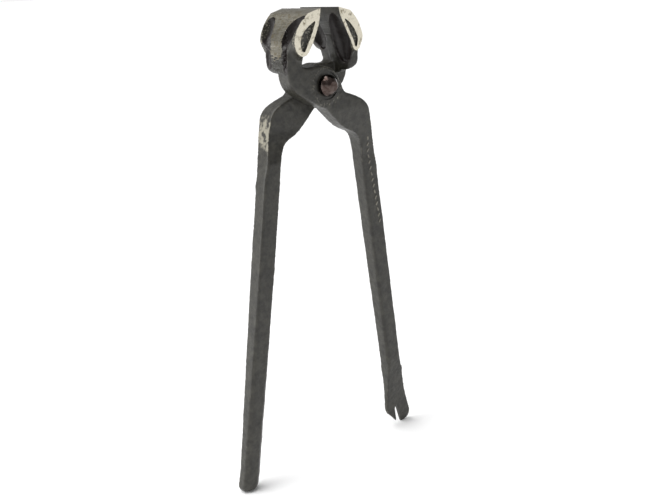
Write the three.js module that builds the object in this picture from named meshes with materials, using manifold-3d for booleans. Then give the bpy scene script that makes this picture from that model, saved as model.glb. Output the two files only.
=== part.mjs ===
// Farrier's hoof nipper: two forged levers crossing at a half-lap joint, held by one rivet.
// Units are millimetres. The tool stands with its jaws up: +Z runs from the handles to the jaws,
// the pivot axis runs along +Y, and the origin is the middle of the rivet head's flat end.
// The two levers come from the same forging: one is the other turned half round about Z.
// Only their handles differ, because one ends in a nail claw and the other is plain.
import * as THREE from "three";
import { mergeVertices } from "three/addons/utils/BufferGeometryUtils.js";
import Module from "manifold-3d";

const wasm = await Module();
wasm.setup();

// ---- Driving dimensions ----
const JAW_TOP = 46.4; // cutting edge above the pivot axis
const EDGE_HALF_GAP = 7; // each cutting edge from the middle plane, at rest
const JAW_WIDTH = 37; // length of the cutting edge along the pivot axis
const RIB_WIDTH = 11; // raised rib down the outside of the jaw
const JAW_SET = 4.8; // how much narrower the jaw is at its end past the lap
const HALF_THICKNESS = 13; // each lever at the half-lap joint
const LAP_GAP = 0.3; // running gap between the two lap faces
const HANDLE_WIDTH = 12.2;
const HANDLE_THICKNESS = 9.8;
const HANDLE_CHAMFER = 1.4;
const HANDLE_END = -253.6; // lowest point of either handle below the pivot axis
const CLAW_SPREAD_ANGLE = 6.9; // lean of the clawed handle, degrees
const PLAIN_SPREAD_ANGLE = 9.1; // lean of the plain handle, degrees
const CLAW_THICKNESS = 3.6;
const CLAW_NOTCH_WIDTH = 4.2;
const HEAD_HEIGHT = 6;
const HEAD_BASE_RADIUS = 7.4;
const HEAD_END_RADIUS = 3;
const SHANK_RADIUS = 4;
const TAIL_RADIUS = 6.2;
const TAIL_HEIGHT = 1.4;
const BORE_CLEARANCE = 0.15; // radial, between shank and bore
const SEAT_GAP = 0.3; // under the rivet's head and tail
const ROUND_STEPS = 48; // sides on a full turn

const LAP_Y = HEAD_HEIGHT + SEAT_GAP + HALF_THICKNESS; // plane where the two levers meet

// ---- Solids from three.js geometry ----
function solid(geometry) {
  const bare = geometry.index ? geometry.toNonIndexed() : geometry.clone();
  bare.deleteAttribute("normal");
  bare.deleteAttribute("uv");
  const merged = mergeVertices(bare, 1e-4);
  return new wasm.Manifold(
    new wasm.Mesh({
      numProp: 3,
      vertProperties: merged.attributes.position.array,
      triVerts: new Uint32Array(merged.index.array),
    }),
  );
}

function geometryOf(body) {
  const { vertProperties, triVerts, numProp } = body.getMesh();
  const positions = new Float32Array((vertProperties.length / numProp) * 3);
  for (let i = 0; i < positions.length / 3; i++)
    positions.set(vertProperties.subarray(i * numProp, i * numProp + 3), i * 3);
  const geometry = new THREE.BufferGeometry();
  geometry.setAttribute("position", new THREE.BufferAttribute(positions, 3));
  geometry.setIndex(new THREE.BufferAttribute(triVerts, 1));
  geometry.computeVertexNormals();
  return geometry;
}

const union = (bodies) => bodies.reduce((all, body) => all.add(body));

// A closed outline in X and Z. A step is one corner [x, z] or a smooth run { through: [...] }.
function outline(start, ...steps) {
  const shape = new THREE.Shape().moveTo(...start);
  for (const step of steps) {
    if (step.through) shape.splineThru(step.through.map(([x, z]) => new THREE.Vector2(x, z)));
    else shape.lineTo(...step);
  }
  return shape;
}

// The outline as a plate from yFront to yBack, with its rims bevelled.
function plate(shape, yFront, yBack, bevel = 0, curveSegments = 6) {
  const geometry = new THREE.ExtrudeGeometry(shape, {
    depth: yBack - yFront - 2 * bevel,
    bevelEnabled: bevel > 0,
    bevelThickness: bevel,
    bevelSize: bevel,
    bevelOffset: -bevel,
    bevelSegments: 2,
    curveSegments,
  });
  return solid(geometry.rotateX(Math.PI / 2).translate(0, yBack - bevel, 0));
}

// An ellipsoid whose top leans towards +X, then tips towards -Y.
function ellipsoid(centre, radii, lean = 0, tip = 0) {
  const geometry = new THREE.SphereGeometry(1, 20, 14).scale(...radii).rotateX(tip).rotateY(lean);
  return solid(geometry.translate(...centre));
}

function cylinderAlongY(radius, yFront, yBack) {
  const geometry = new THREE.CylinderGeometry(radius, radius, yBack - yFront, ROUND_STEPS);
  return solid(geometry.translate(0, (yFront + yBack) / 2, 0));
}

// ---- The forged lever ----
// Made with the pivot axis on Y, the lap face on y = 0, the boss towards -Y,
// the jaw towards -X and the handle towards +X.

// Half-thick part: lower arm, boss round the rivet, and shoulder.
function bossPlate() {
  const shape = outline(
    [-18, 13],
    { through: [[-11, 12], [-4.7, 12.4], [2.6, 11], [8.4, 6.8], [12, 0.6]] },
    {
      through: [
        [15, -5.0], [20.4, -7.3], [26.6, -9.8], [31, -12.4],
        [33.9, -15.9], [35.2, -20.3], [37.6, -27.8],
      ],
    },
    [41.9, -40],
    [45.4, -54],
    [46, -58],
    [34, -58],
    [33.7, -54],
    { through: [[32.2, -45], [29.6, -38.2], [25, -32.9], [14.4, -27.8], [7.4, -22], [0.2, -15]] },
    { through: [[-11, -9.4], [-19, -5], [-24.4, -1], [-28.6, 5], [-30.8, 12.5]] },
  );
  return plate(shape, -HALF_THICKNESS, HANDLE_THICKNESS / 2, 1, 4);
}

// Full-thick arm above the lap, which stops at a rounded ledge over the other lever's boss.
function armBlock() {
  const shape = outline(
    [-18, 7.6],
    [-18, 13],
    { through: [[-16.4, 19], [-13.4, 25]] },
    [-28.4, 25.6],
    { through: [[-30.4, 20], [-31, 16], [-30.2, 12.4], [-28, 10.2], [-24.9, 8.8]] },
  );
  return plate(shape, -HALF_THICKNESS, HALF_THICKNESS, 1.2, 2);
}

// Rib up the outside of the jaw, which widens towards the boss.
function rib() {
  const shape = outline(
    [-24, 9.4],
    [-15, 34],
    [-10.5, 44.6],
    [-17.4, 43.4],
    { through: [[-21.6, 39.9], [-25.4, 35.2], [-28.2, 29.5], [-30.6, 22], [-31.6, 16], [-31, 10.2]] },
  );
  const half = RIB_WIDTH / 2;
  return plate(shape, -half - 0.5, half - 0.5, 0.8, 3).warp((v) => {
    v[1] -= (v[1] < 0 ? 0.21 : 0.1) * Math.max(0, 30 - v[2]);
  });
}

// Ridge down the inside of the jaw, which widens from a crest under the bevel.
function ridge() {
  const shape = outline(
    [-24, 8],
    [-17.8, 8],
    { through: [[-17.6, 12], [-15.8, 19], [-12.4, 28]] },
    [-10.4, 34.5],
    [-12, 40],
    [-18, 40],
  );
  return plate(shape, -2.6, 2.6, 0.5, 2).warp((v) => {
    v[1] *= 1 + 0.045 * Math.max(0, 30 - v[2]);
  });
}

// Wing that carries the cutting edge over the whole width, on a cove that swells out of the arm.
function wing() {
  const half = JAW_WIDTH / 2;
  const wingPlate = (low, reach, bevel) => plate(
    outline(
      [-EDGE_HALF_GAP, JAW_TOP],
      [-16.6, 43.9],
      { through: [[-21, 39.9], [-24.6, 35.8], [-27, 30.6], [-27.6 - 0.4 * low, 26.4 - low],
        [-25.8, 22 - low], [-22.4, 19.6 - low]] },
      { through: [[-18.8 + 0.2 * low, 20.6 - low], [-15.8, 24.2], [-12.6, 29.6], [-9.8, 36], [-7.9, 42]] },
    ),
    -reach,
    reach,
    bevel,
  );
  return union([wingPlate(0, half, 0.5), wingPlate(1.2, half - 2.6, 0), wingPlate(3.4, half - 4.4, 0)]);
}

// Everything forged or ground away from the jaw: valleys beside the rib, hollows beside the ridge,
// and a dish in each end.
function jawHollows() {
  const dish = outline(
    [-10.9, 39.8],
    { through: [[-16.6, 36], [-20.9, 32.4], [-23.2, 27.6], [-22.4, 23], [-20.4, 21.8]] },
    { through: [[-18.6, 25.6], [-16.2, 29.8], [-13.3, 35]] },
  );
  const dishDepth = 1.6;
  const end = JAW_WIDTH / 2;
  return union([
    ellipsoid([-27, -12, 34.6], [7.4, 4.9, 11], 0.58, 0.35),
    ellipsoid([-27, 11.9, 34], [7.4, 5.6, 11], 0.58, -0.1),
    ellipsoid([-32.4, -10.6, 20.5], [4.4, 1.8, 12], 0.06, -0.08),
    ellipsoid([-32.6, 8.8, 19.5], [4.4, 3.2, 11], 0.06, -0.05),
    ellipsoid([-11.6, -10.4, 31.5], [6, 6.9, 13], 0.5, 0.12),
    ellipsoid([-13.2, 10.4, 27.5], [6.4, 7.2, 17], 0.46, -0.1),
    plate(dish, -end - 1, -end + dishDepth),
    plate(dish, end - dishDepth, end + 1),
  ]);
}

// Sets the jaw askew: it grows narrower towards its end past the lap.
function setJaw(v) {
  const [x, y, z] = v;
  if (z <= -6 || x > 2) return;
  const clamp = (value) => Math.min(1, Math.max(0, value));
  const past = (y + JAW_WIDTH / 2) / JAW_WIDTH;
  const rise = THREE.MathUtils.smoothstep(z, -6, 10);
  const squeeze = (JAW_SET - 1.7 * clamp((z - 16) / 12)) * rise * clamp((JAW_TOP - z) / 12);
  const inside = -17.6 + 0.52 * Math.max(0, z - 16);
  const outward = clamp((inside - x) / 13);
  const inward = 2 * clamp((z - 18) / 8) * clamp((44 - z) / 8) * (1 - outward);
  v[0] += past * (squeeze * outward - inward);
}

// A prism across the whole tool: its outline is given in Y and Z.
function prismAlongX(points) {
  const reach = 90;
  const shape = new THREE.Shape(points.map(([y, z]) => new THREE.Vector2(y, z)));
  const geometry = new THREE.ExtrudeGeometry(shape, { depth: 2 * reach, bevelEnabled: false });
  const turn = new THREE.Matrix4().makeBasis(
    new THREE.Vector3(0, 1, 0),
    new THREE.Vector3(0, 0, 1),
    new THREE.Vector3(1, 0, 0),
  );
  return solid(geometry.applyMatrix4(turn).translate(-reach, 0, 0));
}

// Clears the lap face behind the boss, and thins the shoulder down to the handle.
function lapAndShoulderCuts() {
  const clear = 30;
  const lapFace = -LAP_GAP / 2;
  const handleHalf = HANDLE_THICKNESS / 2;
  const behind = [
    [lapFace, clear], [lapFace, -26], [1.2, -32],
    [handleHalf, -44], [clear, -44], [clear, clear],
  ];
  const before = [[-clear, -15], [-HALF_THICKNESS, -16], [-11, -25], [-7.5, -38], [-handleHalf, -50],
    [-handleHalf, -70], [-clear, -70]];
  return prismAlongX(behind).add(prismAlongX(before));
}

// Straight handle with chamfered corners, leaning outwards by the given angle.
function handleBar(top, length, lean) {
  const half = HANDLE_WIDTH / 2;
  const deep = HANDLE_THICKNESS / 2;
  const c = HANDLE_CHAMFER;
  const section = new THREE.Shape(
    [[half, deep - c], [half - c, deep], [c - half, deep], [-half, deep - c],
      [-half, c - deep], [c - half, -deep], [half - c, -deep], [half, c - deep]]
      .map(([x, y]) => new THREE.Vector2(x, y)),
  );
  const geometry = new THREE.ExtrudeGeometry(section, { depth: length, steps: 12, bevelEnabled: false });
  geometry.translate(0, 0, -length).rotateY(-THREE.MathUtils.degToRad(lean));
  return solid(geometry.translate(top[0], 0, top[1]));
}

const HANDLE_TOP = [39.7, -56]; // middle of the bar where it leaves the shoulder

// Point on the handle's middle line at height z.
const handleAt = (z, lean) =>
  HANDLE_TOP[0] + (HANDLE_TOP[1] - z) * Math.tan(THREE.MathUtils.degToRad(lean));

function plainHandle() {
  const lean = PLAIN_SPREAD_ANGLE;
  const roundLength = 6.5;
  const barEnd = HANDLE_END + roundLength;
  const slope = Math.cos(THREE.MathUtils.degToRad(lean));
  const bar = handleBar(HANDLE_TOP, (HANDLE_TOP[1] - barEnd) / slope, lean);
  const radii = [HANDLE_WIDTH / 2 - 0.1, HANDLE_THICKNESS / 2 - 0.1, roundLength];
  return bar.add(ellipsoid([handleAt(barEnd, lean), 0, barEnd], radii));
}

function clawHandle() {
  const lean = CLAW_SPREAD_ANGLE;
  const barEnd = -219;
  const slope = Math.cos(THREE.MathUtils.degToRad(lean));
  const bar = handleBar(HANDLE_TOP, (HANDLE_TOP[1] - barEnd) / slope, lean);
  const blade = outline(
    [66, -214],
    {
      through: [
        [67.6, -221], [70.6, -233], [73.4, -242.5],
        [74.3, -248.6], [72.4, -252.4], [68, HANDLE_END],
      ],
    },
    [62.6, -253.4],
    { through: [[58, -248.6], [53.6, -243.6], [52, -239.6], [52.4, -229], [52.8, -221], [52.6, -212]] },
  );
  const notchTop = -239.6;
  const halfNotch = CLAW_NOTCH_WIDTH / 2;
  const notch = outline(
    [61 - 0.7 * halfNotch, notchTop - 1],
    [61, notchTop],
    [61 + 0.7 * halfNotch, notchTop - 1],
    [64 + halfNotch, HANDLE_END - 1],
    [64 - halfNotch, HANDLE_END - 1],
  );
  const halfBlade = CLAW_THICKNESS / 2;
  const claw = plate(blade, -HANDLE_THICKNESS / 2, HANDLE_THICKNESS / 2, 1, 4);
  const flattening = [-1, 1].map((side) => prismAlongX([
    [side * 4.9, -200],
    [side * (halfBlade + 1.4), -216],
    [side * halfBlade, -228],
    [side * 1, -256],
    [side * 9, -256],
    [side * 9, -200],
  ]));
  return bar.add(claw).subtract(plate(notch, -CLAW_THICKNESS, CLAW_THICKNESS)).subtract(union(flattening));
}

function forgedLever(handle) {
  const lower = bossPlate().subtract(lapAndShoulderCuts());
  const jaw = union([armBlock(), rib(), ridge(), wing()]).subtract(jawHollows());
  const bore = cylinderAlongY(SHANK_RADIUS + BORE_CLEARANCE, -HALF_THICKNESS - 1, HALF_THICKNESS);
  return geometryOf(union([lower, jaw]).warp(setJaw).add(handle).subtract(bore));
}

// ---- The rivet ----
// One stepped pin: cone head in front, shank through both levers, low dome peened at the back.
function pivotRivet() {
  const back = HEAD_HEIGHT + 2 * SEAT_GAP + 2 * HALF_THICKNESS;
  const profile = [
    [0, 0],
    [HEAD_END_RADIUS, 0],
    [HEAD_END_RADIUS + 1.5, 0.7],
    [HEAD_END_RADIUS + 2.9, 2],
    [HEAD_BASE_RADIUS - 0.5, 3.8],
    [HEAD_BASE_RADIUS, 5.2],
    [HEAD_BASE_RADIUS, HEAD_HEIGHT],
    [SHANK_RADIUS, HEAD_HEIGHT],
    [SHANK_RADIUS, back],
    [TAIL_RADIUS, back],
    [TAIL_RADIUS - 0.5, back + 0.6 * TAIL_HEIGHT],
    [TAIL_RADIUS - 2.6, back + TAIL_HEIGHT],
    [0, back + TAIL_HEIGHT],
  ].map(([radius, y]) => new THREE.Vector2(radius, y));
  return new THREE.LatheGeometry(profile, ROUND_STEPS);
}

// ---- Materials ----
const blackSteel = new THREE.MeshStandardMaterial({ color: 0x36352c, roughness: 0.5, metalness: 0.7 });
const rearSteel = new THREE.MeshStandardMaterial({ color: 0x3b3a33, roughness: 0.5, metalness: 0.7 });
const rivetSteel = new THREE.MeshStandardMaterial({ color: 0x2c2320, roughness: 0.25, metalness: 0.8 });

// ---- The assembly ----
const nipper = new THREE.Group();

const frontLever = new THREE.Mesh(forgedLever(clawHandle()), blackSteel);
frontLever.name = "front_lever";
frontLever.position.y = LAP_Y;

const rearLever = new THREE.Mesh(forgedLever(plainHandle()), rearSteel);
rearLever.name = "rear_lever";
rearLever.position.y = LAP_Y;
rearLever.rotation.z = Math.PI;

const rivet = new THREE.Mesh(pivotRivet(), rivetSteel);
rivet.name = "pivot_rivet";

nipper.add(frontLever, rearLever, rivet);

export default nipper;
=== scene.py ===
"""Farrier's hoof nipper: two forged levers crossing at a half-lap joint, and one rivet."""

import math

import bmesh
import bpy
from bpy.props import FloatProperty, FloatVectorProperty, PointerProperty
from bpy.types import Operator, Panel, PropertyGroup
from mathutils import Matrix, Vector, noise


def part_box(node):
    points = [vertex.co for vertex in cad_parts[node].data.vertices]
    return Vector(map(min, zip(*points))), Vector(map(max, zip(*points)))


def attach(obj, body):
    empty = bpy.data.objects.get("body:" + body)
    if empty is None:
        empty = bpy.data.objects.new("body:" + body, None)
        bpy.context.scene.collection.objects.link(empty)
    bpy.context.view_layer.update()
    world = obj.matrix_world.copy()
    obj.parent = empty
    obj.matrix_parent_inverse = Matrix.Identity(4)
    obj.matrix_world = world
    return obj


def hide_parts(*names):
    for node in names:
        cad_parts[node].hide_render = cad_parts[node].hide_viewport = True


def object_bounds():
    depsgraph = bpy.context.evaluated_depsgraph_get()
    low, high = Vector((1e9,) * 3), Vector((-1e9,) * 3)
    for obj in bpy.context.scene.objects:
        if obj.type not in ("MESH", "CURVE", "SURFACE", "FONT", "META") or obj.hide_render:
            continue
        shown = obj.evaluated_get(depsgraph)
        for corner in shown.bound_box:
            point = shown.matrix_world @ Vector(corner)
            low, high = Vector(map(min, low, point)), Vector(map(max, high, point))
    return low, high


bl_info = {
    "name": "Hoof Nipper",
    "version": (1, 0, 0),
    "blender": (4, 5, 0),
    "location": "3D View > Sidebar > Nipper",
    "description": "Forges, grinds and rivets a farrier's hoof nipper around its working frame",
    "category": "Object",
}

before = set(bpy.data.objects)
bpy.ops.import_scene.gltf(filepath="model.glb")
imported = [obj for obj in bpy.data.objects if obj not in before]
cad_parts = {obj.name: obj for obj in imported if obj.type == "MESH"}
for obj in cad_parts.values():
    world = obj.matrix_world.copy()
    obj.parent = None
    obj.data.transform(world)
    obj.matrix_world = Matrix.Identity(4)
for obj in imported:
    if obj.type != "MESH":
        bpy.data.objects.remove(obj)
frame_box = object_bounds()

MM = 0.001
LEVER_LOW, LEVER_HIGH = (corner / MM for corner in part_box("front_lever"))
RIVET_LOW, RIVET_HIGH = (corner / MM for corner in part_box("pivot_rivet"))

# Taken from the working frame, in millimetres.
LAP_Y = (LEVER_LOW.y + LEVER_HIGH.y) / 2  # plane where the two levers meet
JAW_TOP = LEVER_HIGH.z
JAW_HALF_WIDTH = (LEVER_HIGH.y - LEVER_LOW.y) / 2
HANDLE_END = LEVER_LOW.z
TURN_ROUND = Matrix.Rotation(math.pi, 4, "Z")


# ---- Sizes and finishes a user may change ----


def length(name, description, default):
    """A length property that is kept in millimetres."""
    return FloatProperty(name=name, description=description, default=default, min=0.0)


def colour(name, description, default):
    return FloatVectorProperty(name=name, description=description, default=default,
                               subtype="COLOR", size=3, min=0.0, max=1.0)


class NipperForging(PropertyGroup):
    edge_half_gap: length("Edge half gap", "Cutting edge to the middle plane, mm", 7.0)
    half_thickness: length("Half thickness", "One lever at the half-lap joint, mm", 13.0)
    lap_gap: length("Lap gap", "Running gap between the lap faces, mm", 0.3)
    rib_width: length("Rib width", "Rib down the outside of a jaw, mm", 12.0)
    handle_width: length("Handle width", "Across a handle in the plane of opening, mm", 12.5)
    handle_thickness: length("Handle thickness", "Through a handle along the pivot axis, mm", 10.2)
    bore_radius: length("Bore radius", "Hole for the rivet's shank, mm", 4.15)
    grain: length("Grain", "Edge length of the forged skin's mesh, mm", 0.55)
    scale_depth: length("Scale depth", "Height of the forging marks, mm", 0.16)


class NipperFinish(PropertyGroup):
    scale_dark: colour("Black scale", "Darkest colour of the forged skin", (0.012, 0.011, 0.008))
    scale_light: colour("Worn scale", "Lighter colour of the forged skin", (0.036, 0.034, 0.026))
    ground_light: colour("Ground steel", "Bright colour of the ground faces", (0.68, 0.64, 0.53))
    ground_dark: colour(
        "Skimmed steel", "Dull colour where the wheel only skimmed the skin", (0.22, 0.19, 0.13))
    rivet_brown: colour("Rivet", "Dark brown of the polished rivet head", (0.045, 0.030, 0.026))


class NipperStudio(PropertyGroup):
    key_power: FloatProperty(
        name="Key light", description="Soft box at the left", default=9.0, unit="POWER")
    broad_light: FloatProperty(
        name="Broad light", description="Even light from above and behind", default=2.9)
    sky_strength: FloatProperty(
        name="Surround", description="Strength of the plain surround", default=0.42)


# ---- Mesh helpers ----


def clamp(value):
    """The value, held between 0 and 1."""
    return min(1.0, max(0.0, value))


def smooth_run(start, points, steps=5):
    """Points on a Catmull-Rom curve from start through each of the points."""
    knots = [Vector(start), *map(Vector, points)]
    knots = [2 * knots[0] - knots[1], *knots, 2 * knots[-1] - knots[-2]]
    run = []
    for a, b, c, d in zip(knots, knots[1:], knots[2:], knots[3:]):
        for i in range(1, steps + 1):
            t = i / steps
            run.append(0.5 * (2 * b + (c - a) * t + (2 * a - 5 * b + 4 * c - d) * t * t
                              + (3 * b - a - 3 * c + d) * t ** 3))
    return run


def trace(start, *parts):
    """A closed outline in X and Z. A part is one corner, or a list of points on a smooth run."""
    outline = [Vector(start)]
    for part in parts:
        outline += smooth_run(outline[-1], part) if isinstance(part, list) else [Vector(part)]
    return outline


def pushed(corners, way):
    """A solid made by pushing the face between the corners along a vector."""
    bm = bmesh.new()
    face = bm.faces.new([bm.verts.new(corner) for corner in corners])
    made = bmesh.ops.extrude_face_region(bm, geom=[face])["geom"]
    moved = [v for v in made if isinstance(v, bmesh.types.BMVert)]
    bmesh.ops.translate(bm, verts=moved, vec=way)
    return bm


def plate(outline, y_front, y_back, bevel=0.0):
    """The outline as a plate between two planes across Y, with its rims bevelled."""
    bm = pushed([(p.x, y_front, p.y) for p in outline], (0, y_back - y_front, 0))
    if bevel:
        rims = [e for e in bm.edges if abs(e.verts[0].co.y - e.verts[1].co.y) < 1e-6]
        bmesh.ops.bevel(bm, geom=rims, offset=bevel, affect="EDGES", segments=3, profile=0.5,
                        material=-1, clamp_overlap=False)
    bmesh.ops.recalc_face_normals(bm, faces=bm.faces)
    return bm


def prism_across(outline_yz, reach=100):
    """A prism along X from an outline in Y and Z."""
    bm = pushed([(-reach, y, z) for y, z in outline_yz], (2 * reach, 0, 0))
    bmesh.ops.recalc_face_normals(bm, faces=bm.faces)
    return bm


def ellipsoid(centre, radii, lean=0.0, tip=0.0):
    """A ball stretched to three radii, leaned and tipped."""
    bm = bmesh.new()
    bmesh.ops.create_icosphere(bm, subdivisions=4, radius=1.0)
    bmesh.ops.transform(bm, matrix=hollow_place(centre, radii, lean, tip), verts=bm.verts)
    return bm


def pin(radius, y_front, y_back, segments=64):
    """A cylinder along Y."""
    bm = bmesh.new()
    bmesh.ops.create_cone(bm, cap_ends=True, segments=segments, radius1=radius, radius2=radius,
                          depth=y_back - y_front)
    place = Matrix.Translation((0, (y_front + y_back) / 2, 0)) @ Matrix.Rotation(math.pi / 2, 4, "X")
    bmesh.ops.transform(bm, matrix=place, verts=bm.verts)
    return bm


def gather(name, parts):
    """One object that holds all the parts, which are used up."""
    whole = bmesh.new()
    for part in parts:
        step = bpy.data.meshes.new("step")
        part.to_mesh(step)
        part.free()
        whole.from_mesh(step)
        bpy.data.meshes.remove(step)
    mesh = bpy.data.meshes.new(name)
    whole.to_mesh(mesh)
    whole.free()
    obj = bpy.data.objects.new(name, mesh)
    bpy.context.scene.collection.objects.link(obj)
    return obj


def bake_modifiers(obj):
    """Replaces the object's mesh with what its modifiers make of it."""
    graph = bpy.context.evaluated_depsgraph_get()
    made = bpy.data.meshes.new_from_object(obj.evaluated_get(graph), depsgraph=graph)
    old = obj.data
    obj.modifiers.clear()
    obj.data = made
    bpy.data.meshes.remove(old)


def drop(obj):
    """Removes an object and its mesh."""
    mesh = obj.data
    bpy.data.objects.remove(obj)
    bpy.data.meshes.remove(mesh)


def remesh(obj, grain):
    """Joins overlapping shells into one skin of even faces."""
    step = obj.modifiers.new("Skin", "REMESH")
    step.mode = "VOXEL"
    step.voxel_size = grain
    bake_modifiers(obj)


def cut(obj, solids, material=None):
    """Cuts each solid out of the object. Cut faces take the material."""
    for solid in solids:
        tool = gather("tool", [solid])
        if material:
            tool.data.materials.append(material)
        step = obj.modifiers.new("Cut", "BOOLEAN")
        step.operation = "DIFFERENCE"
        step.solver = "MANIFOLD"
        step.material_mode = "TRANSFER"
        step.object = tool
        bake_modifiers(obj)
        drop(tool)


def relax(obj, rounds):
    """Rounds the edges of the skin, as a worn die leaves them."""
    step = obj.modifiers.new("Relax", "SMOOTH")
    step.factor = 0.5
    step.iterations = rounds
    bake_modifiers(obj)


# ---- The forged lever ----
# Made with the pivot axis on Y, the lap face on y = 0, the boss towards -Y,
# the jaw towards -X and the handle towards +X, in millimetres.

HANDLE_TOP = Vector((39.6, -54.0))
BAR_TOP = -58.0  # where the shoulder has come down to the bar's width
BAR_OVERLAP = 2.0  # how far the bar runs up into the shoulder
BLADE_TOP = -216  # where the claw's blade takes over from the bar
DISH_DEPTH = 1.6
SPOTFACE_RADIUS = 8.7
SPOTFACE_DEPTH = 0.8
RELAX_ROUNDS = 7
SHARP_ANGLE = math.radians(38)
CUT_REACH = 20  # how far a cutting tool runs past the ends of the jaw
CLAW_LEAN = math.radians(6.9)
PLAIN_LEAN = math.radians(9.1)


def handle_middle(z, lean):
    """X of the handle's middle line at height z."""
    return HANDLE_TOP.x + (HANDLE_TOP.y - z) * math.tan(lean)


def boss(size, lean):
    """Half-thick part: lower arm, boss round the rivet, and shoulder down to the bar's own width."""
    middle = handle_middle(BAR_TOP, lean)
    half = size.handle_width / 2 / math.cos(lean)
    outline = trace(
        (-18, 14),
        [(-16, 12.4), (-11, 12), (-4.7, 12.4), (2.6, 11), (8.4, 6.8), (12, 0.6)],
        [(15, -5.0), (20.4, -7.3), (26.6, -9.8), (31, -12.4), (33.9, -15.9), (35.4, -20.3),
         (37.8, -27.8), (41.7, -40), (44.6, -50), (middle + half, BAR_TOP)],
        (middle + half - 0.2, BAR_TOP - 6),
        (middle - half + 1.4, BAR_TOP - 6),
        [(middle - half, BAR_TOP), (32.8, -51), (31.9, -45), (29.6, -38.2), (25, -32.9),
         (14.4, -27.8), (7.4, -22), (0.2, -15)],
        [(-11, -9.6), (-19, -5.2), (-24.6, -1), (-28.8, 5), (-31, 12.5)],
    )
    return plate(outline, -size.half_thickness, size.handle_thickness / 2, 2.0)


def arm(size):
    """Full-thick arm above the lap, which stops at a rounded ledge over the other lever's boss."""
    outline = trace(
        (-18, 7.6),
        (-18, 13),
        [(-16.4, 19), (-13.4, 25)],
        (-28.0, 26.5),
        [(-30.2, 21), (-31.0, 16), (-30.4, 12.4), (-28.2, 10.2), (-24.9, 8.8)],
    )
    return plate(outline, -size.half_thickness, size.half_thickness, 2.0)


def rib(size):
    """Rib down the outside of the jaw, proud for grinding, which widens towards the boss."""
    outline = trace(
        (-24, 9.4),
        (-14, 34),
        (-8.4, 45),
        (-16.6, 45),
        [(-22.4, 40.8), (-26.4, 35.8), (-29.2, 29.5), (-31.3, 22), (-31.9, 16), (-31.2, 10.2)],
    )
    half = size.rib_width / 2
    bm = plate(outline, -half - 0.4, half - 0.6, 0.8)
    for v in bm.verts:
        v.co.y -= (0.21 if v.co.y < 0 else 0.10) * max(0.0, 30 - v.co.z)
    return bm


def ridge():
    """Ridge down the inside of the jaw, which widens from a crest under the bevel."""
    outline = trace(
        (-24, 6),
        (-17.6, 6),
        [(-17.6, 12), (-15.8, 19), (-12.2, 28), (-8.8, 36)],
        (-8.4, 45),
        (-16, 45),
    )
    bm = plate(outline, -2.4, 2.4, 0.6)
    for v in bm.verts:
        v.co.y *= 1 + 0.045 * max(0.0, 30 - v.co.z)
    return bm


def wing(size):
    """Wing under the cutting edge over the whole width, on a cove that swells out of the arm."""
    gap = size.edge_half_gap
    half = JAW_HALF_WIDTH + 0.5
    parts = []
    for low, reach in ((0.0, half), (0.8, half - 3.2), (1.8, half - 4.6)):
        outline = trace(
            (0.8 - gap, JAW_TOP + 2.2),
            (-11.5, JAW_TOP + 0.8),
            (-17.6, 44.6),
            [(-21.6, 40.6), (-25.2, 36), (-27.4 - 0.2 * low, 30.8), (-28 - 0.4 * low, 26.2 - low),
             (-26.2, 21.6 - low), (-22.6, 19 - low)],
            [(-18.6 + 0.2 * low, 20.2 - low), (-15.4, 24.2), (-12.2, 29.6), (-9.2, 36), (0.6 - gap, 43)],
        )
        parts.append(plate(outline, -reach, reach, 0.6))
    return parts


# Centre, radii, lean and tip of what the dies press in beside the rib and beside the ridge.
HOLLOWS = (
    ((-27.0, -12.0, 34.8), (7.8, 4.9, 11.4), 0.58, 0.36),
    ((-21.6, -15.4, 40.4), (4.4, 2.5, 4.8), 0.80, 0.50),
    ((-27.0, 12.1, 34.0), (7.6, 5.9, 11.4), 0.58, -0.10),
    ((-32.4, -10.4, 20.5), (4.6, 1.8, 12.5), 0.06, -0.08),
    ((-32.6, 8.6, 19.5), (4.6, 3.4, 11.0), 0.06, -0.05),
    ((-11.6, -10.4, 31.5), (6.0, 6.9, 13.0), 0.50, 0.12),
    ((-13.2, 10.4, 27.5), (6.4, 7.2, 17.0), 0.46, -0.10),
)


def hollow_place(centre, radii, lean, tip):
    """Where a unit sphere goes: its top leans towards +X, then tips towards -Y."""
    turn = Matrix.Rotation(lean, 4, "Y") @ Matrix.Rotation(tip, 4, "X")
    return Matrix.Translation(centre) @ turn @ Matrix.Diagonal((*radii, 1))


def jaw_hollows():
    """What the dies press in, and the dished ends."""
    dish = trace(
        (-10.9, 39.9),
        [(-16.4, 36.4), (-20.9, 32.6), (-23.2, 27.4), (-22.4, 22.8), (-20.4, 21.7)],
        [(-18.3, 25.6), (-15.8, 29.8), (-13.1, 35)],
    )
    end = JAW_HALF_WIDTH
    return [
        plate(dish, -end - 2, DISH_DEPTH - end),
        plate(dish, end - DISH_DEPTH, end + 2),
        *(ellipsoid(*hollow) for hollow in HOLLOWS),
    ]


def lap_and_shoulder(size):
    """Clears the lap face behind the boss, and thins the shoulder down to the handle."""
    far = 40
    lap = -size.lap_gap / 2
    half = size.handle_thickness / 2
    behind = [(lap, far), (lap, -26), (1.2, -32), (half, -44), (far, -44), (far, far)]
    before = [(-far, -15), (-size.half_thickness, -16), (-11, -25), (-7.8, -38), (-half, -50),
              (-half, -70), (-far, -70)]
    return [prism_across(behind), prism_across(before)]


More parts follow.
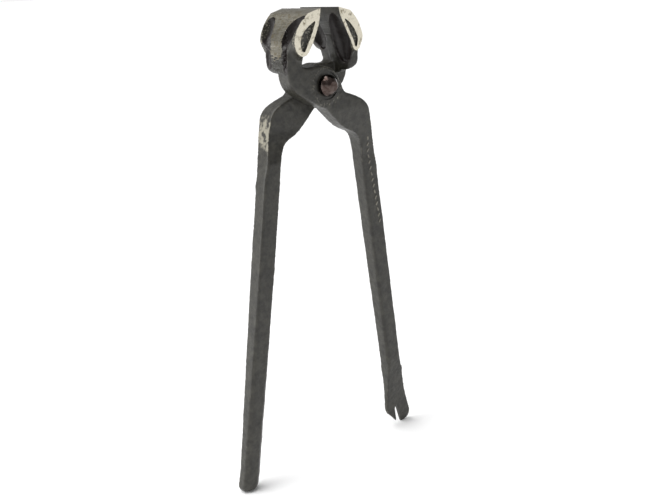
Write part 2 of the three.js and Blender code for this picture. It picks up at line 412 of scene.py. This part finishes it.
def handle_bar(size, bottom, lean, lower_chamfer, end_bevel):
    """Bar from the shoulder down to bottom, its chamfers widening towards a rounded end."""
    steps = 16
    bm = bmesh.new()
    bmesh.ops.create_cube(bm, size=1.0)
    for i in range(1, steps):
        bmesh.ops.bisect_plane(bm, geom=[*bm.verts, *bm.edges, *bm.faces],
                               plane_co=(0, 0, 0.5 - i / steps), plane_no=(0, 0, 1))
    corners = [e for e in bm.edges if abs(e.verts[0].co.z - e.verts[1].co.z) > 1e-6]
    bmesh.ops.bevel(bm, geom=corners, offset=0.12, affect="EDGES", segments=1, profile=0.5,
                    material=-1)
    top = BAR_TOP + BAR_OVERLAP
    across, through = size.handle_width / 2, size.handle_thickness / 2
    for v in bm.verts:
        down = 0.5 - v.co.z
        z = top + (bottom - top) * down
        chamfer = 1.1 + (lower_chamfer - 1.1) * min(1.0, max(0.0, down - 0.3) / 0.6)
        on_side = abs(v.co.x) > 0.499
        x = math.copysign(across if on_side else across - chamfer, v.co.x)
        y = math.copysign(through - 0.75 * chamfer if on_side else through, v.co.y)
        v.co = (handle_middle(z, lean) + x, y, z)
    if end_bevel:
        low = [e for e in bm.edges if max(v.co.z for v in e.verts) < bottom + 0.01]
        bmesh.ops.bevel(bm, geom=low, offset=end_bevel, affect="EDGES", segments=2, profile=0.5,
                        material=-1, clamp_overlap=False)
    bmesh.ops.recalc_face_normals(bm, faces=bm.faces)
    return bm


def plain_handle(size):
    """Solids and cuts of the handle with the rounded end."""
    bar = handle_bar(size, HANDLE_END, PLAIN_LEAN, 3.4, 3.2)
    toe_x = handle_middle(HANDLE_END, PLAIN_LEAN) - 0.4
    toe = ellipsoid((toe_x, -0.6, HANDLE_END + 4.5), (4.8, 4.0, 4.6))
    return [bar, toe], []


def claw_handle(size):
    """Solids and cuts of the handle whose end is flattened into a claw."""
    blade = trace(
        (65.2, -208),
        [(66.4, BLADE_TOP), (70.0, -231), (73.4, -242.5), (74.6, -248.6), (72.8, -252.6),
         (68, HANDLE_END - 0.4)],
        (62.6, HANDLE_END - 0.2),
        [(58, -248.8), (53.4, -243.8), (51.6, -239.6), (52.0, -229), (52.2, BLADE_TOP), (51.6, -206)],
    )
    half = size.handle_thickness / 2
    flattening = [
        prism_across([(side * (half + 0.3), -198), (side * 3.2, BLADE_TOP), (side * 1.8, -229),
                      (side * 0.8, -257), (side * 12, -257), (side * 12, -198)])
        for side in (-1, 1)
    ]
    bar = handle_bar(size, BLADE_TOP, CLAW_LEAN, 2.0, 0)
    return [bar, plate(blade, -half, half, 1.2)], flattening


def claw_notch():
    """V notch that catches a nail."""
    below = HANDLE_END - 2
    outline = trace((59.4, -241.4), (59.9, -239.7), (60.9, -239.0), (61.9, -239.6),
                    (66.4, below), (61.6, below))
    return plate(outline, -6, 6)


def raised_marks(x, z):
    """Height of the row of small slanted bars down the front of the handle."""
    count = 15
    first, last = Vector((36.2, -38)), Vector((47.0, -96))
    along = last - first
    place = (Vector((x, z)) - first).dot(along) / along.length_squared
    index = round(place * (count - 1))
    if not 0 <= index < count:
        return 0.0
    middle = first + along * (index / (count - 1))
    slant = Vector((0.55, 0.84)) if index % 3 else Vector((-0.3, 0.95))
    offset = Vector((x, z)) - middle
    lengthwise = abs(offset.dot(slant))
    sideways = abs(offset.dot(Vector((-slant.y, slant.x))))
    reach = max(sideways / 0.75, (lengthwise - 0.8) / 0.75)
    return max(0.0, 1.0 - reach) ** 0.6


def forge_skin(obj, size, seed, marks):
    """Presses the marks of forging into the skin, and notes where its scale is worn, where a painted
    highlight lies on the rear shoulder wall, and where painted shade darkens the die hollows.
    """
    bm = bmesh.new()
    bm.from_mesh(obj.data)
    bm.normal_update()
    shift = Vector((seed * 37.1, seed * 11.7, seed * 5.3))
    # This layer marks where the scale is worn at crests and raised marks, plus a painted highlight on
    # the rear lever's shoulder wall.
    wear_and_sheen = bm.verts.layers.float.new("wear_and_sheen")
    # Painted shade: darkening laid over the surfaces of the die hollows.
    painted_shade = bm.verts.layers.float.new("painted_shade")
    pressed = [hollow_place(*hollow).inverted() for hollow in HOLLOWS]
    heights = {}
    for v in bm.verts:
        p = v.co
        round_pivot = math.hypot(p.x, p.z)
        rough = 1.0 + 1.6 * max(0.0, 1 - abs(round_pivot - 11) / 5)
        big = noise.fractal(p * 0.09 + shift, 1.0, 2.0, 2)
        mid = noise.fractal(p * 0.36 + shift, 0.9, 2.1, 3)
        fine = noise.noise(p * 1.15 + shift)
        lift = size.scale_depth * (big + rough * (0.75 * mid + 0.45 * fine))
        mark = 0.0
        if marks and v.normal.y < -0.6 and -100 < p.z < -30:
            mark = raised_marks(p.x, p.z)
            lift += 0.5 * mark
        around = sum((e.other_vert(v).co for e in v.link_edges), Vector()) / len(v.link_edges)
        crest = (p - around).dot(v.normal)
        collar = max(0.0, 1 - abs(round_pivot - 11) / 4) if p.y < 0 else 0.0
        dish = 1.0 if abs(p.y) > JAW_HALF_WIDTH - DISH_DEPTH - 0.3 and p.z > 18 else 0.0
        if p.z > 9 and p.x < -25 and abs(p.y + 2) < 8:
            wrinkled = Vector((p.x, p.y * 0.5, p.z * 1.7)) * 0.5
            lift += 0.8 * noise.fractal(wrinkled + shift, 0.8, 2.1, 3)
        # Painted highlight: a pale band on the rear lever's outer shoulder wall that stands in for the
        # reflection of a light at the left.
        painted_sheen = 0.0
        if not marks and v.normal.x > 0.5 and p.x > 24:
            painted_sheen = max(0.0, 1 - abs(p.z + 26) / 13) * (1.0 + 1.5 * mid)
        flecks = (collar + 1.5 * dish) * max(0.0, 0.2 + fine)
        v[wear_and_sheen] = clamp(5.5 * crest + 0.25 * mid + mark + 1.1 * painted_sheen + flecks)
        # Painted shade: the surfaces of the pressed hollows are darkened as if in shade.
        v[painted_shade] = 0.0
        if p.z > 8 and p.x < 0 and not dish:
            depth = min((place @ p).length for place in pressed)
            v[painted_shade] = clamp((1.16 - depth) / 0.12)
        heights[v] = lift
    for v, lift in heights.items():
        v.co += v.normal * lift
    bm.to_mesh(obj.data)
    bm.free()


def grinding(size):
    """What the grinder takes off: the outside down to the rib, and both ends."""
    gap = size.edge_half_gap
    profile = trace(
        (0.6 - gap, JAW_TOP - 0.1),
        (-gap - 0.5, JAW_TOP - 0.2),
        (-16.6, 43.9),
        [(-21.2, 40.0), (-25.3, 35.2), (-28.2, 29.5), (-30.6, 22.5), (-32.3, 17), (-33.4, 12)],
        (-50, 12),
        (-50, 70),
        (3.0 - gap, 70),
    )
    end = JAW_HALF_WIDTH
    parts = [plate(profile, -end - CUT_REACH, end + CUT_REACH)]
    for side in (-1, 1):
        near, far = sorted((side * end, side * (end + 8)))
        parts.append(plate(trace((-45, 5), (-45, 60), (5, 60), (5, 5)), near, far))
    return parts


def edge_bevel(size):
    """Smooth bevel behind the cutting edge, pressed while the steel is hot."""
    gap = size.edge_half_gap
    profile = trace(
        (-3.0 - gap, JAW_TOP + 10),
        (-gap, JAW_TOP),
        (-7.8, 41.6),
        [(-9.2, 36.6), (-10.9, 32.9), (-12.5, 29.2)],
        (-11.2, 28.4),
        (10, 28.4),
        (10, JAW_TOP + 10),
    )
    return plate(profile, -JAW_HALF_WIDTH - CUT_REACH, JAW_HALF_WIDTH + CUT_REACH)


def forge_lever(name, size, seed, handle, lean, marks, finish):
    """One lever, in the forging's own place and in millimetres."""
    scale = shared_material(black_scale, finish)
    skimmed = shared_material(skimmed_steel, finish)
    steel = shared_material(ground_steel, finish)
    solids, cuts = handle
    lever = gather(name, [boss(size, lean), *solids])
    remesh(lever, size.grain)
    cut(lever, [*lap_and_shoulder(size), *cuts])
    jaw = gather("jaw", [arm(size), rib(size), ridge(), *wing(size)])
    remesh(jaw, size.grain)
    cut(jaw, jaw_hollows())

    both = bmesh.new()
    both.from_mesh(lever.data)
    both.from_mesh(jaw.data)
    both.to_mesh(lever.data)
    both.free()
    drop(jaw)
    remesh(lever, size.grain)
    relax(lever, RELAX_ROUNDS)
    forge_skin(lever, size, seed, marks)
    lever.data.materials.clear()
    lever.data.materials.append(scale)
    cut(lever, [edge_bevel(size)], scale)
    band, *ends = grinding(size)
    cut(lever, [band], skimmed)
    cut(lever, ends, steel)
    set_jaw(lever)
    bore = pin(size.bore_radius, -30, 30)
    spotface = pin(SPOTFACE_RADIUS, -30, SPOTFACE_DEPTH - size.half_thickness)
    cut(lever, [bore, spotface], scale)
    if lever.dimensions.z < abs(HANDLE_END):
        raise RuntimeError(f"{name} lost its handle in a cut")
    return lever


def set_jaw(obj):
    """Sets the jaw askew: it is narrower on the side past the lap."""
    for v in obj.data.vertices:
        x, y, z = v.co
        past = (y + JAW_HALF_WIDTH) / (2 * JAW_HALF_WIDTH)
        if z <= -6 or x > 2:
            continue
        rise = min(1.0, (z + 6) / 16)
        fall = clamp((JAW_TOP - z) / 12)
        squeeze = (4.8 - 2.5 * clamp((z - 16) / 12)) * rise * rise * (3 - 2 * rise) * fall
        inside = -17.6 + 0.52 * max(0.0, z - 16)
        outward = clamp((inside - x) / 13)
        inward = 2.0 * clamp((z - 18) / 8) * clamp((44 - z) / 8) * (1 - outward)
        v.co.x += past * (squeeze * outward - inward)


def finish_mesh(obj, turn=None):
    """Puts the piece in its place in the frame, in metres, and marks its steep edges sharp."""
    place = Matrix.Scale(MM, 4) @ Matrix.Translation((0, LAP_Y, 0)) @ (turn or Matrix.Identity(4))
    bm = bmesh.new()
    bm.from_mesh(obj.data)
    bmesh.ops.remove_doubles(bm, verts=bm.verts, dist=0.01)
    bmesh.ops.dissolve_degenerate(bm, edges=bm.edges, dist=0.01)
    bmesh.ops.transform(bm, matrix=place, verts=bm.verts)
    bmesh.ops.triangulate(bm, faces=bm.faces)
    bm.normal_update()
    for face in bm.faces:
        face.smooth = True
    for edge in bm.edges:
        if len(edge.link_faces) == 2:
            edge.smooth = edge.calc_face_angle(0.0) < SHARP_ANGLE
    bm.to_mesh(obj.data)
    bm.free()


# ---- Materials ----


def nodes_of(material):
    """A material's nodes, links and main shader."""
    material.use_nodes = True
    nodes, links = material.node_tree.nodes, material.node_tree.links
    return nodes, links, nodes["Principled BSDF"]


def noise_texture(nodes, links, scale, detail, roughness=0.5):
    """Noise in the piece's own metres."""
    place = nodes.new("ShaderNodeTexCoord")
    texture = nodes.new("ShaderNodeTexNoise")
    texture.inputs["Scale"].default_value = scale
    texture.inputs["Detail"].default_value = detail
    texture.inputs["Roughness"].default_value = roughness
    links.new(place.outputs["Object"], texture.inputs["Vector"])
    return texture


def ramp(nodes, links, source, stops):
    """Colour ramp over (position, colour) stops."""
    made = nodes.new("ShaderNodeValToRGB")
    elements = made.color_ramp.elements
    while len(elements) < len(stops):
        elements.new(0.5)
    for element, (position, colour) in zip(elements, stops):
        element.position = position
        element.color = (*colour, 1.0)
    links.new(source, made.inputs["Fac"])
    return made


def grey(value):
    return (value, value, value)


def bump(nodes, links, shader, height, strength, distance):
    """Fine relief on a shader, from a height."""
    made = nodes.new("ShaderNodeBump")
    made.inputs["Strength"].default_value = strength
    made.inputs["Distance"].default_value = distance
    links.new(height, made.inputs["Height"])
    links.new(made.outputs["Normal"], shader.inputs["Normal"])


def black_scale(finish):
    """Satin black scale: mottled, slightly olive, worn pale at crests, with a painted highlight on the
    rear shoulder wall and painted shade in the die hollows
    """
    material = bpy.data.materials.new("black_scale")
    nodes, links, shader = nodes_of(material)
    mottle = noise_texture(nodes, links, 240, 6, 0.6)
    tone = ramp(nodes, links, mottle.outputs["Fac"],
                [(0.36, tuple(finish.scale_dark)), (0.66, tuple(finish.scale_light))])
    # Pale where the scale is worn at crests and marks, and where the painted highlight lies on the rear
    # shoulder wall.
    worn = nodes.new("ShaderNodeAttribute")
    worn.attribute_name = "wear_and_sheen"
    wear_and_sheen = ramp(nodes, links, worn.outputs["Fac"], [(0.30, grey(0)), (0.95, grey(0.75))])
    # Painted shade: the die hollows are pulled towards near-black brown.
    painted_shade_attr = nodes.new("ShaderNodeAttribute")
    painted_shade_attr.attribute_name = "painted_shade"
    dark = nodes.new("ShaderNodeMix")
    dark.data_type = "RGBA"
    dark.inputs["B"].default_value = (0.008, 0.0045, 0.0035, 1)
    links.new(painted_shade_attr.outputs["Fac"], dark.inputs["Factor"])
    links.new(tone.outputs["Color"], dark.inputs["A"])
    mix = nodes.new("ShaderNodeMix")
    mix.data_type = "RGBA"
    mix.inputs["B"].default_value = (0.30, 0.28, 0.22, 1)
    links.new(wear_and_sheen.outputs["Color"], mix.inputs["Factor"])
    links.new(dark.outputs["Result"], mix.inputs["A"])
    links.new(mix.outputs["Result"], shader.inputs["Base Color"])
    gloss = noise_texture(nodes, links, 900, 4)
    rough = ramp(nodes, links, gloss.outputs["Fac"], [(0.3, grey(0.34)), (0.7, grey(0.52))])
    links.new(rough.outputs["Color"], shader.inputs["Roughness"])
    pores = noise_texture(nodes, links, 1500, 5, 0.65)
    bump(nodes, links, shader, pores.outputs["Fac"], 0.5, 0.0002)
    return material


def ground_steel(finish, name="ground_steel", shine=1.0, skimmed=0.38):
    """Bright steel from the wheel: fine scratches along the edge, dull patches where it skimmed."""
    material = bpy.data.materials.new(name)
    light = tuple(shine * channel for channel in finish.ground_light)
    nodes, links, shader = nodes_of(material)
    patches = noise_texture(nodes, links, 330, 5, 0.6)
    tone = ramp(nodes, links, patches.outputs["Fac"],
                [(skimmed - 0.08, tuple(finish.ground_dark)), (skimmed + 0.08, light)])
    links.new(tone.outputs["Color"], shader.inputs["Base Color"])
    place = nodes.new("ShaderNodeTexCoord")
    stretch = nodes.new("ShaderNodeMapping")
    stretch.inputs["Scale"].default_value = (2600, 160, 2600)
    scratches = nodes.new("ShaderNodeTexNoise")
    scratches.inputs["Scale"].default_value = 1.0
    scratches.inputs["Detail"].default_value = 3
    links.new(place.outputs["Object"], stretch.inputs["Vector"])
    links.new(stretch.outputs["Vector"], scratches.inputs["Vector"])
    rough = ramp(nodes, links, scratches.outputs["Fac"], [(0.3, grey(0.24)), (0.7, grey(0.38))])
    links.new(rough.outputs["Color"], shader.inputs["Roughness"])
    shader.inputs["Metallic"].default_value = 1.0
    bump(nodes, links, shader, scratches.outputs["Fac"], 0.25, 0.0001)
    return material


def skimmed_steel(finish):
    """Duller steel over the back of a jaw, where the wheel only skimmed the forging."""
    return ground_steel(finish, "skimmed_steel", 0.45, 0.46)


def polished_rivet(finish):
    """Dark brown polished steel, unevenly stained."""
    material = bpy.data.materials.new("polished_rivet")
    nodes, links, shader = nodes_of(material)
    stain = noise_texture(nodes, links, 420, 4)
    tone = ramp(nodes, links, stain.outputs["Fac"],
                [(0.35, tuple(finish.rivet_brown)), (0.75, (0.13, 0.105, 0.095))])
    links.new(tone.outputs["Color"], shader.inputs["Base Color"])
    gloss = noise_texture(nodes, links, 1300, 3)
    rough = ramp(nodes, links, gloss.outputs["Fac"], [(0.3, grey(0.12)), (0.7, grey(0.22))])
    links.new(rough.outputs["Color"], shader.inputs["Roughness"])
    shader.inputs["Metallic"].default_value = 1.0
    bump(nodes, links, shader, gloss.outputs["Fac"], 0.08, 0.0001)
    return material


def shared_material(make, finish):
    """The finish, made once."""
    return bpy.data.materials.get(make.__name__) or make(finish)


# ---- Operators ----


class NIPPER_OT_front_lever(Operator):
    """Front lever: left jaw, front half of the joint and the handle with the nail claw"""

    bl_idname = "nipper.front_lever"
    bl_label = "Front Lever"

    def execute(self, context):
        size, finish = context.scene.nipper_forging, context.scene.nipper_finish
        lever = forge_lever(
            "front_lever_forged", size, 1, claw_handle(size), CLAW_LEAN, True, finish)
        cut(lever, [claw_notch()], shared_material(black_scale, finish))
        finish_mesh(lever)
        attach(lever, "front_lever")
        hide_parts("front_lever")
        return {"FINISHED"}


class NIPPER_OT_rear_lever(Operator):
    """Rear lever: right jaw, rear half of the joint and the plain handle"""

    bl_idname = "nipper.rear_lever"
    bl_label = "Rear Lever"

    def execute(self, context):
        size, finish = context.scene.nipper_forging, context.scene.nipper_finish
        lever = forge_lever(
            "rear_lever_forged", size, 2, plain_handle(size), PLAIN_LEAN, False, finish)
        finish_mesh(lever, TURN_ROUND)
        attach(lever, "rear_lever")
        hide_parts("rear_lever")
        return {"FINISHED"}


class NIPPER_OT_pivot_rivet(Operator):
    """Rivet: polished cone head, shank through both levers and peened tail"""

    bl_idname = "nipper.pivot_rivet"
    bl_label = "Pivot Rivet"

    def execute(self, context):
        head_end, tail_end = RIVET_LOW.y - LAP_Y, RIVET_HIGH.y - LAP_Y
        radius = (RIVET_HIGH.x - RIVET_LOW.x) / 2
        seat = 0.3 - context.scene.nipper_forging.half_thickness
        shank = 4.0
        profile = [(0, head_end), (2.9, head_end), (3.3, head_end + 0.3), (5.3, head_end + 2.4),
                   (6.6, head_end + 4.4), (radius - 0.6, seat + 0.1), (radius - 1.2, seat + 0.35),
                   (shank, seat + 0.35), (shank, -seat + 0.1), (5.9, -seat + 0.2),
                   (6.1, -seat + 0.6), (5.0, tail_end - 0.5), (2.8, tail_end - 0.05), (0, tail_end)]
        bm = bmesh.new()
        line = [bm.verts.new((r, y, 0)) for r, y in profile]
        edges = [bm.edges.new(pair) for pair in zip(line, line[1:])]
        bmesh.ops.spin(bm, geom=[*line, *edges], cent=(0, 0, 0), axis=(0, 1, 0),
                       angle=2 * math.pi, steps=72, use_merge=True)
        bmesh.ops.remove_doubles(bm, verts=bm.verts, dist=1e-3)
        bmesh.ops.recalc_face_normals(bm, faces=bm.faces)
        rivet = gather("pivot_rivet_polished", [bm])
        bevel = rivet.modifiers.new("Edges", "BEVEL")
        bevel.width = 0.25
        bevel.segments = 3
        bevel.limit_method = "ANGLE"
        bevel.angle_limit = math.radians(18)
        bake_modifiers(rivet)
        rivet.data.materials.append(shared_material(polished_rivet, context.scene.nipper_finish))
        finish_mesh(rivet)
        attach(rivet, "front_lever")
        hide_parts("pivot_rivet")
        return {"FINISHED"}


def aim(obj, target):
    """Turns a light or camera at a point."""
    obj.rotation_euler = (Vector(target) - obj.location).to_track_quat("-Z", "Y").to_euler()


class NIPPER_OT_stage(Operator):
    """Pale floor, soft studio light and the camera"""

    bl_idname = "nipper.stage"
    bl_label = "Stage"

    def execute(self, context):
        studio = context.scene.nipper_studio
        bm = bmesh.new()
        bmesh.ops.create_circle(bm, cap_ends=True, segments=96, radius=30.0)
        mesh = bpy.data.meshes.new("floor")
        bm.to_mesh(mesh)
        bm.free()
        floor = bpy.data.objects.new("floor", mesh)
        context.scene.collection.objects.link(floor)
        floor.location.z = frame_box[0].z - 0.0004
        pale = bpy.data.materials.new("pale_floor")
        shader = nodes_of(pale)[2]
        shader.inputs["Base Color"].default_value = (0.9, 0.9, 0.9, 1)
        shader.inputs["Roughness"].default_value = 0.9
        shader.inputs["Specular IOR Level"].default_value = 0.1
        mesh.materials.append(pale)

        middle = Vector((0, LAP_Y * MM, -0.08))
        box = bpy.data.lights.new("soft_box", "AREA")
        box.shape = "RECTANGLE"
        box.size, box.size_y, box.energy = 0.7, 1.2, studio.key_power
        broad = bpy.data.lights.new("broad", "SUN")
        broad.angle, broad.energy = math.radians(60), studio.broad_light
        for data, place in ((box, (-1.1, 0.35, 0.30)), (broad, (-0.5, 0.35, 1.4))):
            lamp = bpy.data.objects.new(data.name, data)
            context.scene.collection.objects.link(lamp)
            lamp.location = place
            aim(lamp, middle)

        world = bpy.data.worlds.new("plain_surround")
        world.use_nodes = True
        sky = world.node_tree.nodes["Background"]
        links = world.node_tree.links
        direction = world.node_tree.nodes.new("ShaderNodeTexCoord")
        height = world.node_tree.nodes.new("ShaderNodeSeparateXYZ")
        links.new(direction.outputs["Generated"], height.inputs["Vector"])
        fade = ramp(world.node_tree.nodes, links, height.outputs["Z"],
                    [(0.06, grey(1.0)), (0.30, grey(0.38))])
        links.new(fade.outputs["Color"], sky.inputs["Color"])
        sky.inputs["Strength"].default_value = studio.sky_strength / 0.45
        context.scene.world = world

        context.scene.view_settings.view_transform = "Standard"
        camera = bpy.data.objects.new("camera", bpy.data.cameras.new("camera"))
        context.scene.collection.objects.link(camera)
        camera.data.lens = 50.9
        place = Vector((-367.9, LAP_Y - 455.1, 64.5)) * MM
        yaw, pitch, roll = (math.radians(a) for a in (39.44, 16.39, 2.78))
        turn = (Matrix.Rotation(-yaw, 4, "Z") @ Matrix.Rotation(math.pi / 2 - pitch, 4, "X")
                @ Matrix.Rotation(-roll, 4, "Z"))
        camera.matrix_world = Matrix.Translation(place) @ turn
        camera.data.clip_start, camera.data.clip_end = 0.01, 100
        context.scene.camera = camera
        return {"FINISHED"}


class NIPPER_PT_sidebar(Panel):
    """The operators, and the sizes and finishes that they use"""

    bl_label = "Hoof Nipper"
    bl_idname = "NIPPER_PT_sidebar"
    bl_space_type = "VIEW_3D"
    bl_region_type = "UI"
    bl_category = "Nipper"

    def draw(self, context):
        for operator in OPERATORS:
            self.layout.operator(operator.bl_idname)
        for group in (getattr(context.scene, name) for name in GROUPS):
            box = self.layout.box()
            for name in group.bl_rna.properties.keys():
                if name not in {"rna_type", "name"}:
                    box.prop(group, name)


OPERATORS = (NIPPER_OT_stage, NIPPER_OT_front_lever, NIPPER_OT_rear_lever, NIPPER_OT_pivot_rivet)
GROUPS = {
    "nipper_forging": NipperForging,
    "nipper_finish": NipperFinish,
    "nipper_studio": NipperStudio,
}


def register():
    for cls in (*GROUPS.values(), *OPERATORS, NIPPER_PT_sidebar):
        bpy.utils.register_class(cls)
    for name, group in GROUPS.items():
        setattr(bpy.types.Scene, name, PointerProperty(type=group))


def unregister():
    for name in GROUPS:
        delattr(bpy.types.Scene, name)
    for cls in reversed((*GROUPS.values(), *OPERATORS, NIPPER_PT_sidebar)):
        bpy.utils.unregister_class(cls)


def main():
    register()
    bpy.ops.nipper.stage()
    bpy.ops.nipper.front_lever()
    bpy.ops.nipper.rear_lever()
    bpy.ops.nipper.pivot_rivet()


if __name__ == "__main__":
    main()
